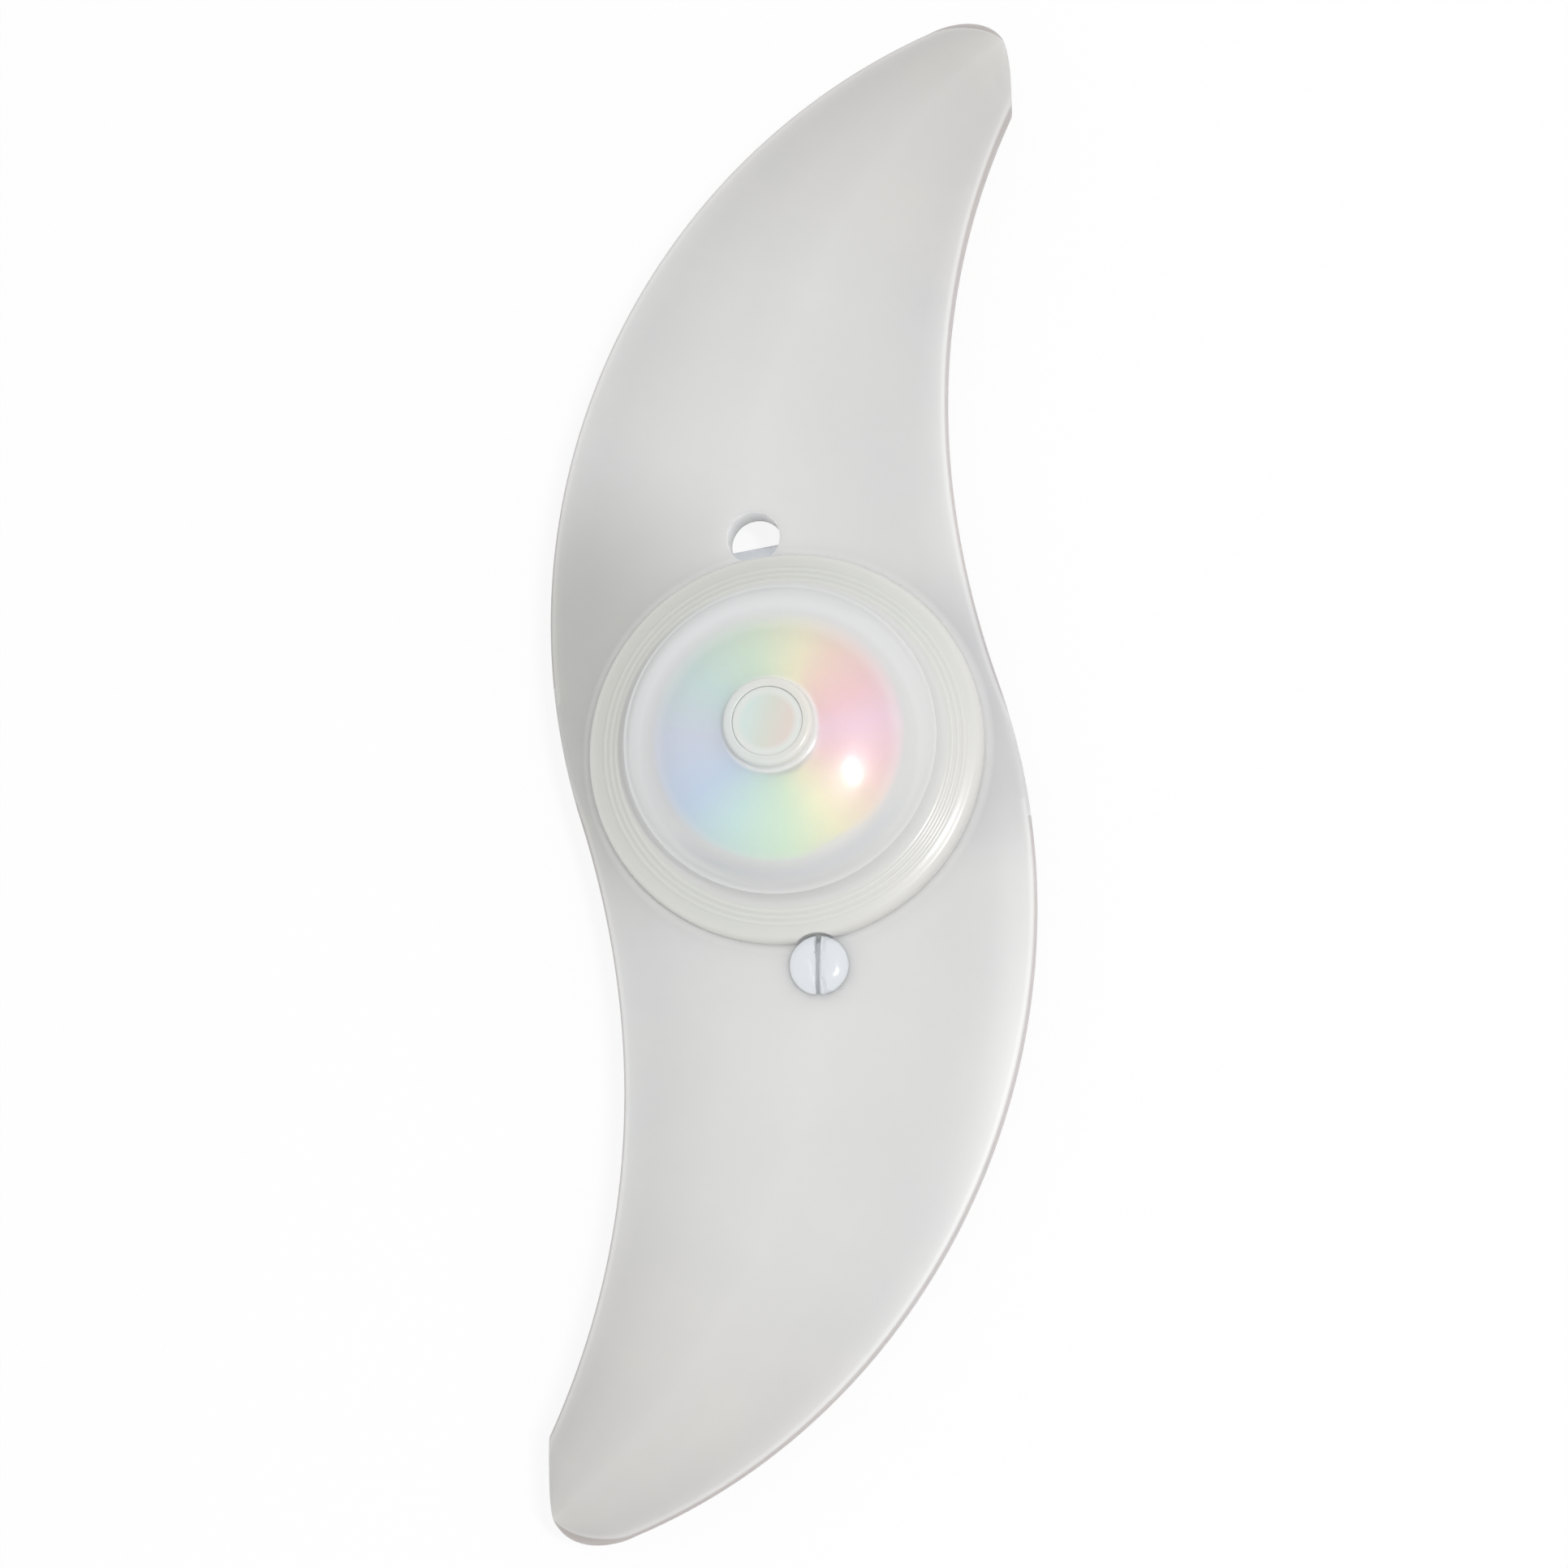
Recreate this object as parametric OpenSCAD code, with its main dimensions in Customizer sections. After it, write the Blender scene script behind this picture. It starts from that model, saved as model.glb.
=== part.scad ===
// Spoke light: an S-shaped light-guide blade with a round light pod in its middle.
// Millimetres. Z = 0 is the plane that it lies on, X = Y = 0 is the axis of the pod,
// +Y runs along the blade from tip to tip and +Z looks out of the front.

/* [Blade] */
// Length of the midline from the pod's axis to one tip
blade_run = 63; // [50:0.5:80]
// Heading of the midline at the pod, degrees from +Y towards +X
heading_mid = -32; // [-40:0.5:-15]
// Heading of the midline at the tip
heading_tip = 38.4; // [20:0.2:50]
// Half the blade's width at the pod
half_mid = 16.7; // [16.2:0.1:20]
// Handle of the half-width curve beside the pod
half_shoulder = 16.8; // [15:0.1:20]
// Handle of the half-width curve towards the tip
half_taper = 12; // [8:0.1:15]
// Half-width where the rounded tip begins
half_tip = 3.3; // [2:0.1:6]
// Length of the rounded tip along the midline
tip_round = 3.6; // [2:0.1:6]
// Lean of the rounded tip towards the lobe's hollow side
tip_lean = 0.3; // [0:0.05:0.5]
// Thickness at the middle of the blade
blade_t = 2.5; // [2:0.1:3.4]
// Thickness on the midline at the tips
tip_t = 2.1; // [1.8:0.1:3.2]
// Thickness of the rim
edge_t = 1.7; // [1.2:0.1:1.9]
// Radius on both corners of the rim
edge_round = 0.4; // [0.2:0.05:0.55]
// Height of the sharp keel that runs out to each tip
keel_rise = 0.4; // [0:0.05:1]
// Depth of the ejector pin's mark on the back
ejector_depth = 0.15; // [0.05:0.05:0.4]
// Radius of the ejector pin's mark
ejector_r = 2.7; // [1.5:0.1:3.5]
// Place of the mark across the blade
ejector_x = -13.9; // [-15:0.1:-12]
// Place of the mark along the blade
ejector_y = 15.7; // [14:0.1:20]

/* [Fastening holes] */
// Wall left between the pod's seat and each hole
hole_wall = 1.08; // [0.8:0.02:2]
// Direction of the open hole, degrees from +X
hole_bearing = 112.4; // [105:0.2:125]
// Radius of each hole
hole_r = 2.05; // [1.8:0.05:2.2]

/* [Spoke clasp] */
// Diameter of the spoke that the clasp grips
spoke_d = 2; // [1.8:0.1:2.4]
// Thickness of the clasp's bar
bar_t = 2.6; // [2.4:0.1:3.4]
// Width of the clasp's bar
bar_w = 8; // [7:0.1:9]
// Radius of the bar's eye end, round the pin
eye_r = 4.6; // [4.2:0.1:5.4]
// Radius of the collar that spaces the bar off the blade
collar_r = 3.4; // [2.8:0.1:4]
// How far inside the pod base's rim the bar thins to its thumb tab
tail_inset = 4; // [3.6:0.1:4.4]
// Distance from the pod's axis to the spoke groove nearer the pin
groove_near = 7; // [5:0.5:9]
// Distance from the pod's axis to the spoke groove nearer the free end
groove_far = 5; // [4:0.5:6.5]
// How far the snap head stands out past the pin's shaft
snap_lip = 0.2; // [0.1:0.05:0.3]
// Height of the snap head above the blade
snap_h = 1.1; // [0.8:0.1:1.4]
// Width of the slot that lets the snap head spring
snap_slot = 0.4; // [0.3:0.1:1]
// Direction of the slot, degrees from the bar
slot_bearing = -9; // [-90:1:90]
// Clearance between the snap head and the notch in the cap's flange
head_clear = 0.15; // [0.1:0.05:0.4]
// Running clearance of the pin, all round
pin_clear = 0.05; // [0.02:0.01:0.1]
// Thickness of the catch's lip under the bar's free end
catch_t = 1.2; // [1:0.1:1.4]
// Width of the catch along the bar
catch_w = 3; // [2:0.1:3.4]
// Thickness of the catch's post
catch_post = 1.4; // [1:0.1:2]
// Gap all round the bar's free end in its catch
catch_clear = 0.15; // [0.1:0.05:0.3]
// How far the thumb tab reaches past the middle of the open hole
tab_past_hole = 0.3; // [-1:0.05:1]
// Thickness of the tab
tab_t = 1.5; // [1:0.1:2]
// How far the tab's top lies below the bar's
tab_drop = 0.4; // [0.2:0.1:1]
// Radius of the tab's corners
tab_corner = 1.5; // [0.5:0.1:3]

/* [Pod housing] */
// Thickness of the pod shell's wall round the coin cell
shell_wall = 2.1; // [1.9:0.1:2.3]
// Radial gap between the pod and the blade
pod_clear = 0.1; // [0.05:0.05:0.2]
// Thickness of the pod base
base_t = 1.2; // [1:0.1:1.4]
// How far the pod base reaches past the shell
base_reach = 1.2; // [1:0.1:1.3]
// How far the shell's flange reaches past the shell
flange_reach = 1.4; // [1.2:0.1:1.5]
// Thickness of the shell's flange
flange_t = 0.8; // [0.7:0.1:1]
// Depth of the undercut that holds the cap's lip
undercut = 0.6; // [0.4:0.1:0.8]
// Thickness of the shell's wall above its flange
upper_wall = 0.5; // [0.4:0.05:0.6]
// Thickness of the shell's plate under the label
plate_t = 0.45; // [0.4:0.05:0.7]
// Room under the plate for the parts on the board
board_room = 0.7; // [0.6:0.05:0.9]
// Radius of the round window for the switch
window_r = 2.8; // [2.75:0.05:3]
// Width of the tab that stops the pod turning in the blade
key_w = 3; // [2:0.1:4]
// Thickness of the sealing ring
seal_d = 0.6; // [0.5:0.05:0.7]
// Number of base screws
screw_count = 3; // [3:1:4]
// Radius of each screw's shaft
screw_r = 0.6; // [0.5:0.05:0.65]
// Radius of each screw's head
screw_head_r = 1.15; // [1:0.05:1.3]
// Length of each screw
screw_len = 3; // [2.6:0.1:3.2]

/* [Silicone cap] */
// How far the cap reaches past the shell's flange
cap_reach = 1.2; // [1:0.1:1.4]
// Height of the flange's rim above the blade
cap_rim_h = 1.2; // [1.1:0.05:1.5]
// Height of the foot of the dome above the blade
dome_foot_h = 1.9; // [1.7:0.1:2.1]
// Height of the dome above its foot
dome_rise = 6.2; // [5.8:0.1:7]
// Fullness of the dome's shoulder, where 2 is an ellipse
dome_fullness = 2.4; // [2:0.1:3.4]
// Thickness of the dome at its top
cap_wall = 1.2; // [1:0.05:1.4]
// Thickness of the dome at its foot
dome_foot_wall = 0.85; // [0.7:0.05:1]
// Height of the soft fillet at the foot of the dome
foot_fillet = 0.8; // [0.4:0.1:1]
// Number of fine ridges round the flange
ridge_count = 3; // [0:1:4]
// Distance between two ridges
ridge_pitch = 0.62; // [0.5:0.02:0.7]
// Height of each ridge
ridge_h = 0.12; // [0.05:0.01:0.2]
// Height of the ring round the button above the dome
ring_h = 1; // [0.8:0.1:1.3]
// Wall of the ring round the button
ring_wall = 0.7; // [0.5:0.05:0.9]

/* [Button and switch] */
// Radius of the push button
button_r = 2.5; // [2.2:0.05:2.6]
// Gap between the button and its ring
button_clear = 0.1; // [0.05:0.01:0.15]
// How far the button's face lies below the top of its ring
button_sink = 0.15; // [0.05:0.05:0.3]
// Thickness of the collar that keeps the button in
button_collar_t = 0.7; // [0.5:0.05:0.9]
// How far that collar reaches past the button
button_collar_reach = 0.6; // [0.4:0.05:0.8]
// Travel of the button and the switch
travel = 0.4; // [0.2:0.05:0.45]
// Side of the square switch
switch_w = 3.7; // [3.2:0.1:3.8]
// Height of the switch's body
switch_h = 2; // [1.7:0.1:2.2]
// Radius of the switch's plunger
plunger_r = 1; // [0.8:0.05:1.1]
// How far the plunger stands out of the switch
plunger_out = 0.45; // [0.45:0.05:0.6]

/* [Inside the pod] */
// Diameter of the coin cell
cell_d = 20; // [19.8:0.1:20]
// Thickness of the coin cell
cell_t = 3.2; // [3:0.1:3.2]
// Gap round the coin cell
cell_clear = 0.3; // [0.2:0.05:0.35]
// Gap between the cell and the board, spanned by the contacts
contact_gap = 0.3; // [0.25:0.05:0.4]
// Thickness of the contact strip
strip_t = 0.15; // [0.1:0.01:0.15]
// Width of the contact that runs up the cell's side
side_strip_w = 1.4; // [1:0.1:2]
// How far that contact reaches under the board
side_strip_reach = 1.6; // [1.2:0.1:2.4]
// Width of the contact spring on top of the cell
spring_w = 3; // [2:0.1:4]
// Distance between the feet of that spring
spring_span = 6; // [5:0.1:8]
// Length of each of its feet
spring_foot = 1.5; // [1:0.1:2]
// How much smaller the board's radius is than the battery well's
board_inset = 1.3; // [1.2:0.05:1.6]
// Thickness of the circuit board
board_t = 0.6; // [0.5:0.05:0.8]
// Side of each light-emitting diode
led_w = 2.8; // [2:0.1:3]
// Height of each diode
led_h = 0.6; // [0.4:0.05:0.6]
// Distance of each diode from the board's rim
led_inset = 3; // [2.6:0.1:3.2]
// How much smaller the label's radius is than the board's
label_inset = 0.1; // [0.05:0.05:0.4]
// Thickness of the label
label_t = 0.1; // [0.05:0.01:0.15]
// Depth of the flat on the label's rim
label_flat = 0.5; // [0:0.1:0.8]
// Direction of that flat, degrees from +X
flat_bearing = -47; // [-90:1:0]

/* [Hidden] */
$fn = 96;
eps = 0.01;

// Levels, from the plane that the part lies on
back_z = bar_t + spoke_d / 2;
front_z = back_z + blade_t;
base_top = back_z + base_t;
flange_top = front_z + flange_t;
cell_top = base_top + cell_t;
board_z = cell_top + contact_gap;
board_top = board_z + board_t;
plate_z = board_top + board_room;
plate_top = plate_z + plate_t;
foot_z = front_z + dome_foot_h;
dome_top = foot_z + dome_rise;
dome_under = dome_top - cap_wall;
ring_top = dome_top + ring_h;
switch_top = board_top + switch_h;
plunger_top = switch_top + plunger_out;

// Radii that follow from what fits in what
cavity_r = cell_d / 2 + cell_clear;
shell_r = cavity_r + shell_wall;
opening_r = shell_r + pod_clear;
base_r = shell_r + base_reach;
seat_r = base_r + pod_clear;
flange_r = shell_r + flange_reach;
cap_r = flange_r + cap_reach;
hole_ring = seat_r + hole_wall + hole_r;
tail_reach = base_r - tail_inset;
tab_end = hole_ring + tab_past_hole;
board_r = cavity_r - board_inset;
led_ring = board_r - led_inset;
label_r = board_r - label_inset;
upper_r = cavity_r + upper_wall;
dome_in = upper_r + pod_clear;
dome_r = dome_in + dome_foot_wall;
board_seat_r = board_r + 0.15;
ledge_r = board_r - 0.4;
plate_r = label_r + 0.3;
screw_ring = (cavity_r + shell_r) / 2 + 0.05;
seal_ring = (opening_r + base_r) / 2;
bore_r = button_r + button_clear;
ring_r = bore_r + ring_wall;
pin_r = hole_r - pin_clear;
head_r = pin_r + snap_lip;
groove_r = spoke_d / 2;
fit = 0.05;
key_reach = 0.7;

// Local X runs from the pod's axis to the open hole
module along_bar() rotate([0, 0, hole_bearing]) children();

// Blade
// The midline is one arc per lobe, and each lobe is the other turned half round.
turn = heading_tip - heading_mid;
arc_r = blade_run / (turn * PI / 180);
function heading(u) = heading_mid + turn * abs(u);
function midline(u) =
    let (h = heading(u), g = sign(u) * arc_r)
    [g * (cos(heading_mid) - cos(h)), g * (sin(h) - sin(heading_mid))];

tip_u = 1 - tip_round / blade_run;
function width_curve(u) =
    half_mid * pow(1 - u, 3) + 3 * half_shoulder * u * pow(1 - u, 2)
    + 3 * half_taper * u * u * (1 - u) + half_tip * pow(u, 3);
function into_tip(u) = min(1, max(0, (abs(u) - tip_u) / (1 - tip_u)));
function tip_share(u) = sqrt(1 - into_tip(u) * into_tip(u));
function half_width(u) = width_curve(abs(u)) * tip_share(u);

// Where the cross-sections stand: evenly along the lobe, closing up round the tip
lobe_steps = 26;
tip_steps = 7;
tip_turn = 87;
lobe_u = concat(
    [for (i = [0:lobe_steps]) tip_u * i / lobe_steps],
    [for (i = [1:tip_steps]) tip_u + (1 - tip_u) * sin(tip_turn * i / tip_steps)]
);
stations = concat([for (i = [len(lobe_u) - 1:-1:1]) -lobe_u[i]], lobe_u);

// A cross-section: crowned front that flattens at the pod, sharp keel, rounded rim, flat back
crown_mid = 10;
crown_tip = 2.4;
keel_start = 0.3;
function ease(t) = let (c = min(1, max(0, t))) c * c * (3 - 2 * c);
function crown_power(u) = crown_tip + (crown_mid - crown_tip) * (1 - ease(abs(u) / 0.6));
function front_height(v, u) =
    let (
        top = blade_t + (tip_t - blade_t) * u * u,
        out = sqrt(pow(v * tip_share(u), 2) + pow(into_tip(u), 2)),
        keel = keel_rise * ease((abs(u) - keel_start) / 0.6) * tip_share(u)
    )
    edge_t + (top - edge_t) * (1 - pow(out, crown_power(u))) + keel * (1 - abs(v));
front_steps = 8;
function section(u) =
    let (
        w = half_width(u),
        r = min(edge_round, 0.45 * w),
        s = r * (1 - sqrt(0.5)),
        front = [for (i = [-front_steps:front_steps])
            let (v = sin(90 * i / front_steps)) [v * (w - r), front_height(v, u)]]
    )
    concat(
        [[-(w - r), 0], [-(w - s), s], [-w, r], [-w, edge_t - r], [-(w - s), edge_t - s]],
        front,
        [[w - s, edge_t - s], [w, edge_t - r], [w, r], [w - s, s], [w - r, 0]]
    );
function placed(u) =
    let (m = midline(u), h = heading(u), lean = tip_lean * into_tip(u))
    [for (p = section(u)) [
        m[0] + p[0] * (cos(h) - lean * sin(h)),
        m[1] - p[0] * (sin(h) + lean * cos(h)),
        back_z + p[1]
    ]];

module blade_body() {
    n = len(section(0));
    last = len(stations) - 1;
    points = [for (u = stations) each placed(u)];
    sides = [for (i = [0:last - 1], j = [0:n - 1])
        let (a = i * n + j, b = i * n + (j + 1) % n)
        each [[a, b, b + n], [a, b + n, a + n]]];
    start_cap = [for (j = [1:n - 2]) [0, j + 1, j]];
    end_cap = [for (j = [1:n - 2]) [last * n, last * n + j, last * n + j + 1]];
    polyhedron(points, concat(sides, start_cap, end_cap));
}

module blade() {
    color("#dcdedd")
    difference() {
        blade_body();
        translate([0, 0, back_z - 1]) cylinder(h = blade_t + 2, r = opening_r);
        translate([0, 0, back_z - 1]) cylinder(h = base_t + 1, r = seat_r);
        along_bar() {
            for (side = [-1, 1])
                translate([side * hole_ring, 0, back_z - 1]) cylinder(h = blade_t + 2, r = hole_r);
            translate([-key_w / 2 - fit, 0, back_z - 1])
                cube([key_w + 2 * fit, base_r + key_reach + fit, base_t + 1]);
        }
        translate([ejector_x, ejector_y, back_z - 1]) cylinder(h = 1 + ejector_depth, r = ejector_r);
    }
}

// Silicone cap: flange, fine ridges, full dome and the ring round the button
dome_steps = 20;
function dome(r, rise, z, steps) = [for (i = [0:steps])
    let (
        a = 90 * i / steps,
        x = r * pow(cos(a), 2 / dome_fullness),
        y = rise * pow(sin(a), 2 / dome_fullness)
    ) [x, z + y]];
function inside(points, r_min) = [for (p = points) if (p[0] > r_min) p];
function dome_z(x, r, rise, z) = z + rise * pow(1 - pow(x / r, dome_fullness), 1 / dome_fullness);

ridge_start = dome_r + 0.65;
rim_top = front_z + cap_rim_h;
slope = (foot_z - rim_top) / (cap_r - 0.3 - dome_r);
function ridge(i) =
    let (
        x = ridge_start + (ridge_count - 1 - i) * ridge_pitch,
        z = rim_top + (cap_r - 0.3 - x) * slope
    )
    [[x + ridge_pitch * 0.3, z - slope * ridge_pitch * 0.3], [x, z + ridge_h],
     [x - ridge_pitch * 0.3, z + slope * ridge_pitch * 0.3]];
fillet = [for (i = [0:5])
    let (
        t = i / 5,
        low_w = pow(1 - t, 2),
        high_w = t * t,
        reach = 0.5 * foot_fillet
    ) [dome_r + low_w * reach, foot_z - low_w * reach * slope + high_w * foot_fillet]];
function above(points, z_min) = [for (p = points) if (p[1] > z_min) p];
ring_round = 0.3;
function corner(x, z, r, from) =
    [for (a = [0:22.5:90]) [x + r * cos(from + a), z + r * sin(from + a)]];

module silicone_cap() {
    outer = concat(
        [[cap_r, front_z]],
        corner(cap_r - 0.3, rim_top - 0.3, 0.3, 0),
        [for (i = [0:ridge_count - 1]) each ridge(i)],
        fillet,
        above(inside(dome(dome_r, dome_rise, foot_z, dome_steps), ring_r + 0.2), foot_z + foot_fillet + 0.1),
        [[ring_r, dome_z(ring_r, dome_r, dome_rise, foot_z)]],
        corner(ring_r - ring_round, ring_top - ring_round, ring_round, 0),
        corner(bore_r + ring_round, ring_top - ring_round, ring_round, 90)
    );
    under = inside(dome(dome_in, dome_under - foot_z, foot_z, dome_steps), bore_r + 0.2);
    inner = concat(
        [[bore_r, dome_z(bore_r, dome_in, dome_under - foot_z, foot_z)]],
        [for (i = [len(under) - 1:-1:0]) under[i]],
        [[dome_in, flange_top], [flange_r + fit, flange_top],
         [flange_r + fit, front_z + flange_t / 2 - fit],
         [flange_r - undercut + fit, front_z + flange_t / 2 - fit],
         [flange_r - undercut + fit, front_z]]
    );
    color("#e4e6df")
    difference() {
        rotate_extrude() polygon(concat(outer, inner));
        along_bar() translate([-hole_ring, 0, front_z - 1])
            cylinder(h = cap_rim_h + 2, r = head_r + head_clear);
    }
}

// Push button and the label that it stands over
module press_button() {
    collar_top = dome_z(button_r + button_collar_reach, dome_in, dome_under - foot_z, foot_z) - fit;
    collar_bottom = collar_top - button_collar_t;
    face = ring_top - button_sink;
    color("#e9ebe6")
    rotate_extrude() polygon([
        [0, plunger_top], [plunger_r + 0.3, plunger_top], [plunger_r + 0.3, collar_bottom],
        [button_r + button_collar_reach, collar_bottom], [button_r + button_collar_reach, collar_top],
        [button_r, collar_top], [button_r, face - 0.25], [button_r - 0.08, face - 0.08],
        [button_r - 0.25, face], [0, face]
    ]);
}

module colour_label() {
    color("#e8c6d2")
    translate([0, 0, plate_top])
    difference() {
        cylinder(h = label_t, r = label_r);
        translate([0, 0, -1]) cylinder(h = label_t + 2, r = window_r);
        rotate([0, 0, flat_bearing]) translate([label_r - label_flat, -label_r, -1])
            cube([label_r, 2 * label_r, label_t + 2]);
    }
}

// Pod shell: a turned cup with a flange on the blade, a ledge for the board and a plate on top
module each_screw() {
    for (i = [0:screw_count - 1])
        rotate([0, 0, hole_bearing + 60 + i * 360 / screw_count])
            translate([screw_ring, 0, 0]) children();
}

module pod_shell() {
    profile = [
        [cavity_r, base_top], [shell_r, base_top], [shell_r, front_z],
        [flange_r - undercut, front_z], [flange_r - undercut, front_z + flange_t / 2],
        [flange_r, front_z + flange_t / 2], [flange_r, flange_top], [upper_r, flange_top],
        [upper_r, board_z + 0.2], [upper_r - 0.5, board_top], [plate_r + 0.4, plate_z],
        [plate_r, plate_top], [window_r, plate_top], [window_r, plate_z], [ledge_r, plate_z],
        [ledge_r, board_top], [board_seat_r, board_top], [board_seat_r, board_z],
        [cavity_r, board_z]
    ];
    color("#f2f3f0")
    difference() {
        rotate_extrude() polygon(profile);
        each_screw() translate([0, 0, base_top - 1])
            cylinder(h = back_z + screw_len + 1.1 - base_top, r = screw_r + 0.02, $fn = 32);
    }
}

// Pod base: battery cover with the seal's groove, the key tab and the clasp's catch
step_x = tail_reach - 0.8;
catch_x = tail_reach - 0.4;
tab_x = catch_x + catch_w + 0.7;
module screw_head() {
    cylinder(h = screw_head_r - screw_r, r1 = screw_head_r, r2 = screw_r, $fn = 32);
}

module catch() {
    post_y = bar_w / 2 + catch_clear;
    translate([catch_x, post_y, 0]) cube([catch_w, catch_post, back_z + eps]);
    translate([catch_x, 1, 0]) cube([catch_w, post_y + catch_post - 1, catch_t]);
}

module pod_base() {
    color("#e3e5e2")
    difference() {
        union() {
            translate([0, 0, back_z]) cylinder(h = base_t, r = base_r);
            along_bar() {
                translate([-key_w / 2, base_r - 1, back_z]) cube([key_w, 1 + key_reach, base_t]);
                catch();
            }
        }
        translate([0, 0, base_top]) rotate_extrude()
            translate([seal_ring - seal_d / 2, -seal_d]) square([seal_d, seal_d + 1]);
        each_screw() {
            translate([0, 0, back_z - 1]) cylinder(h = base_t + 2, r = screw_r + 0.02, $fn = 32);
            translate([0, 0, back_z]) screw_head();
        }
    }
}

module base_seal() {
    color("#3a3d3f")
    translate([0, 0, base_top - seal_d / 2])
        rotate_extrude() translate([seal_ring, 0]) circle(d = seal_d, $fn = 24);
}

module cover_screws() {
    color("#b9bcc0")
    each_screw() translate([0, 0, back_z]) difference() {
        union() {
            screw_head();
            cylinder(h = screw_len, r = screw_r, $fn = 32);
        }
        for (a = [0, 90]) rotate([0, 0, a]) translate([-0.6, -0.13, -1]) cube([1.2, 0.26, 1.35]);
    }
}

// Circuit board and what is soldered on it
module circuit_board() {
    color("#2f6b4a")
    translate([0, 0, board_z]) difference() {
        cylinder(h = board_t, r = board_r);
        along_bar() translate([board_r - 0.4, -1, -1]) cube([2, 2, board_t + 2]);
    }
}

module control_chip() {
    blob_r = 2.1;
    blob_h = board_room - 0.15;
    ball_r = (blob_r * blob_r + blob_h * blob_h) / (2 * blob_h);
    color("#1d1f22")
    rotate([0, 0, 180]) translate([led_ring - 0.6, 0, board_top]) intersection() {
        cylinder(h = blob_h, r = blob_r);
        translate([0, 0, blob_h - ball_r]) sphere(r = ball_r);
    }
}

module led(i) {
    rotate([0, 0, i * 120]) translate([led_ring, 0, board_top]) {
        color("#f5f5f0") difference() {
            translate([-led_w / 2, -led_w / 2, 0]) cube([led_w, led_w, led_h]);
            translate([0, 0, led_h - 0.15]) cylinder(h = 1, r = led_w * 0.4, $fn = 48);
        }
    }
}

// A small chip part lies at an angle and a distance from the pod's axis, moved along by a step
module chip_part(angle, reach, step, size) {
    rotate([0, 0, angle]) translate([reach, step, board_top])
        translate([-size[0] / 2, -size[1] / 2, 0]) cube(size);
}
module chip_capacitor() color("#b49a78") chip_part(30, led_ring, 0, [1, 1.6, 0.55]);
resistor_pitch = 1.75;
module resistor(i) color("#26282b") chip_part(60, led_ring + 0.9, (i - 2) * resistor_pitch, [0.8, 1.6, 0.45]);

module switch_body() {
    pocket = plunger_out + travel + 0.4;
    color("#33363a")
    translate([0, 0, board_top]) difference() {
        translate([-switch_w / 2, -switch_w / 2, 0]) cube([switch_w, switch_w, switch_h]);
        translate([0, 0, switch_h - pocket]) cylinder(h = pocket + 1, r = plunger_r + fit);
    }
}

module switch_plunger() {
    color("#e6e3da")
    translate([0, 0, switch_top - 0.4]) cylinder(h = plunger_out + 0.4, r = plunger_r);
}

// Coin cell and its two contacts
module coin_cell() {
    r = cell_d / 2;
    lid_r = r - 1.1;
    rim = 0.35;
    color("#c6c9cc")
    translate([0, 0, base_top]) rotate_extrude() polygon([
        [0, 0], [r - rim, 0], [r - rim * 0.3, rim * 0.3], [r, rim], [r, cell_t - 0.6],
        [r - 0.3, cell_t - 0.3], [lid_r, cell_t - 0.3], [lid_r - 0.2, cell_t], [0, cell_t]
    ]);
}

module positive_contact() {
    side = cell_d / 2;
    inner = board_r - side_strip_reach;
    color("#c9b37a")
    rotate([0, 0, hole_bearing + 90]) translate([0, -side_strip_w / 2, 0]) {
        translate([side, 0, base_top + 0.8]) cube([strip_t, side_strip_w, board_z - base_top - 0.8]);
        translate([inner, 0, board_z - strip_t]) cube([side - inner + eps, side_strip_w, strip_t]);
    }
}

module negative_contact() {
    foot = spring_span / 2;
    crest = foot - 1.8;
    end = foot + spring_foot;
    color("#c9b37a")
    rotate([0, 0, hole_bearing]) translate([0, spring_w / 2, cell_top])
        rotate([90, 0, 0]) linear_extrude(spring_w) polygon([
            [-end, 0], [-foot, 0], [-crest, contact_gap - strip_t], [crest, contact_gap - strip_t],
            [foot, 0], [end, 0], [end, strip_t], [foot - 0.1, strip_t],
            [crest + 0.1, contact_gap], [-crest - 0.1, contact_gap], [0.1 - foot, strip_t], [-end, strip_t]
        ]);
}

// Spoke clasp: bar with a thumb tab, collar and split snap pin in one moulding
module snap_pin() {
    collar_top = back_z - fit;
    head_z = front_z + fit;
    round_z = head_z + snap_lip + 0.1;
    round_h = front_z + snap_h - round_z;
    rotate_extrude() polygon(concat(
        [[0, bar_t - eps], [collar_r, bar_t - eps], [collar_r, collar_top], [pin_r, collar_top],
         [pin_r, head_z], [head_r, head_z + snap_lip]],
        [for (a = [0:15:90]) [head_r * (1 - 0.55 * (1 - cos(a))), round_z + round_h * sin(a)]],
        [[0, front_z + snap_h]]
    ));
}

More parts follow.
